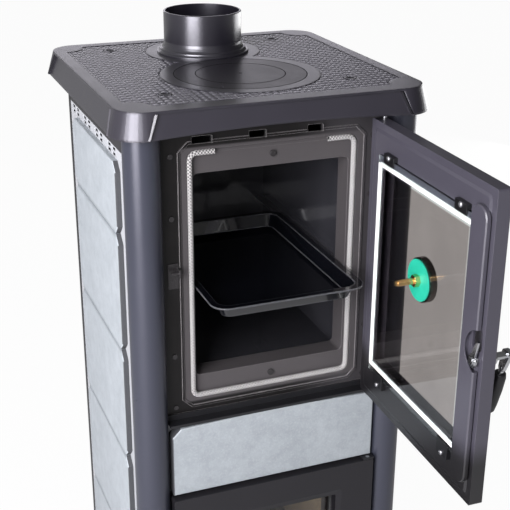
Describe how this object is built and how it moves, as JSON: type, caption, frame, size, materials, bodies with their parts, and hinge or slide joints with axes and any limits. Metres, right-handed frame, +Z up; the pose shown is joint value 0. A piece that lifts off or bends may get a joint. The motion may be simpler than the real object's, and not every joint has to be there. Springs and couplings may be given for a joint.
{
  "type": "wood-burning stove with oven",
  "caption": "Square upright wood-burning stove: cast hob plate with lift-out ring and lid, top flue spigot, glazed oven door with thermometer, glazed firebox door, ash drawer, stone side tiles.",
  "frame": {"origin": "on the floor, under the middle of the top plate", "axes": "+X to the right as seen from the front, +Y towards the back, +Z up, along the flue spigot"},
  "size_m": [0.4594, 0.7569, 1.048],
  "materials": {
    "cast_grey": "matt heat-proof paint over cast iron",
    "dark_sheet": "matt black heat-proof paint on sheet steel",
    "pillar_paint": "satin blue-grey paint",
    "silver_sheet": "light silver paint on sheet steel",
    "stone": "pale stone",
    "inner_steel": "heat-proof paint, sooty",
    "bolt_black": "blackened steel",
    "front_steel": "satin dark brown-grey paint on pressed steel",
    "rope": "braided glass-fibre rope",
    "zinc": "zinc-plated steel",
    "enamel": "glossy black enamel on steel",
    "door_paint": "satin dark grey paint on pressed steel",
    "glass": "clear ceramic glass",
    "tape": "flat glass-fibre tape",
    "clip_black": "black spring steel",
    "chrome": "bright chrome",
    "turquoise": "turquoise-green sealing washer",
    "brass": "turned brass",
    "dial_white": "printed dial",
    "needle_red": "red paint",
    "grip_black": "black heat-proof grip",
    "firebrick": "pale refractory brick",
    "vermiculite": "pressed vermiculite board",
    "grate_iron": "bare cast iron",
    "ash_steel": "steel sheet"
  },
  "bodies": {
    "stove": {"base": "cast_grey", "floor_plate": "dark_sheet", "pillar_left": "pillar_paint", "pillar_right": "pillar_paint", "rear_post_left": "dark_sheet", "rear_post_right": "dark_sheet", "side_sheet_left": "silver_sheet", "side_sheet_right": "silver_sheet", "back_panel": "dark_sheet", "side_tiles_left": "stone", "side_tiles_right": "stone", "inner_body": "inner_steel", "top_plate": "cast_grey", "plate_bolts": "bolt_black", "flue_collar": "cast_grey", "front_shelf": "dark_sheet", "band_backing": "silver_sheet", "band_tile": "stone", "oven_frame": "front_steel", "oven_rope": "rope", "frame_screws": "zinc", "hinge_plates": "dark_sheet", "hinge_pins": "zinc", "oven_keeper": "zinc", "oven_box": "enamel", "oven_runners": "zinc", "firebox_frame": "front_steel", "firebox_rope": "rope", "firebox_keeper": "zinc", "firebrick_left": "firebrick", "firebrick_right": "firebrick", "firebrick_back": "firebrick", "baffle_plate": "vermiculite", "grate": "grate_iron"},
    "hob_ring": {"hob_ring": "cast_grey"},
    "hob_lid": {"hob_lid": "cast_grey"},
    "tray": {"oven_tray": "enamel"},
    "oven_door": {"oven_door_frame": "door_paint", "oven_door_glass": "glass", "oven_glass_tape": "tape", "oven_glass_clamps": "clip_black", "oven_clamp_screws": "zinc", "oven_door_strip": "door_paint", "thermometer_case": "chrome", "thermometer_washer": "turquoise", "thermometer_stem": "brass", "thermometer_dial": "dial_white"},
    "needle": {"thermometer_needle": "needle_red"},
    "oven_handle": {"oven_door_handle": "chrome", "oven_door_grip": "grip_black", "oven_door_latch": "chrome"},
    "fire_door": {"fire_door_frame": "door_paint", "fire_door_glass": "glass", "fire_glass_tape": "tape", "fire_glass_clamps": "clip_black"},
    "fire_handle": {"fire_door_handle": "chrome", "fire_door_latch": "chrome"},
    "drawer": {"ash_drawer": "ash_steel", "ash_front": "cast_grey"},
    "slider": {"air_slider": "zinc"}
  },
  "joints": [
    {"name": "hob_ring_lift", "type": "slide", "parent": "stove", "child": "hob_ring", "axis": [0, 0, 1], "range_m": [0, 0.06]},
    {"name": "hob_lid_lift", "type": "slide", "parent": "hob_ring", "child": "hob_lid", "axis": [0, 0, 1], "range_m": [0, 0.06]},
    {"name": "oven_door_hinge", "type": "hinge", "parent": "stove", "child": "oven_door", "pos_m": [0.1532, -0.2115, 0.733], "axis": [0, 0, 1], "range_deg": [-88.6, 21.4]},
    {"name": "thermometer_pivot", "type": "hinge", "parent": "oven_door", "child": "needle", "pos_m": [0.13736, -0.37236, 0.771], "axis": [-0.9997, 0.0244, 0], "range_deg": [-120, 120]},
    {"name": "oven_handle_turn", "type": "hinge", "parent": "oven_door", "child": "oven_handle", "pos_m": [0.14994, -0.51271, 0.723], "axis": [-0.9997, 0.0244, 0], "range_deg": [0, 18]},
    {"name": "tray_slide", "type": "slide", "parent": "stove", "child": "tray", "axis": [0, -1, 0], "range_m": [-0.0805, 0.0195]},
    {"name": "fire_door_hinge", "type": "hinge", "parent": "stove", "child": "fire_door", "pos_m": [0.1532, -0.2115, 0.257], "axis": [0, 0, 1], "range_deg": [0, 110]},
    {"name": "fire_handle_turn", "type": "hinge", "parent": "fire_door", "child": "fire_handle", "pos_m": [-0.148, -0.2156, 0.285], "axis": [0, 1, 0], "range_deg": [0, 18]},
    {"name": "ash_drawer_slide", "type": "slide", "parent": "stove", "child": "drawer", "axis": [0, -1, 0], "range_m": [0, 0.27]},
    {"name": "air_slide", "type": "slide", "parent": "drawer", "child": "slider", "axis": [1, 0, 0], "range_m": [-0.028, 0]}
  ],
  "couplings": [
    {"joint": "tray_slide", "follows": "oven_door_hinge", "m_per_rad": 0.0518}
  ]
}
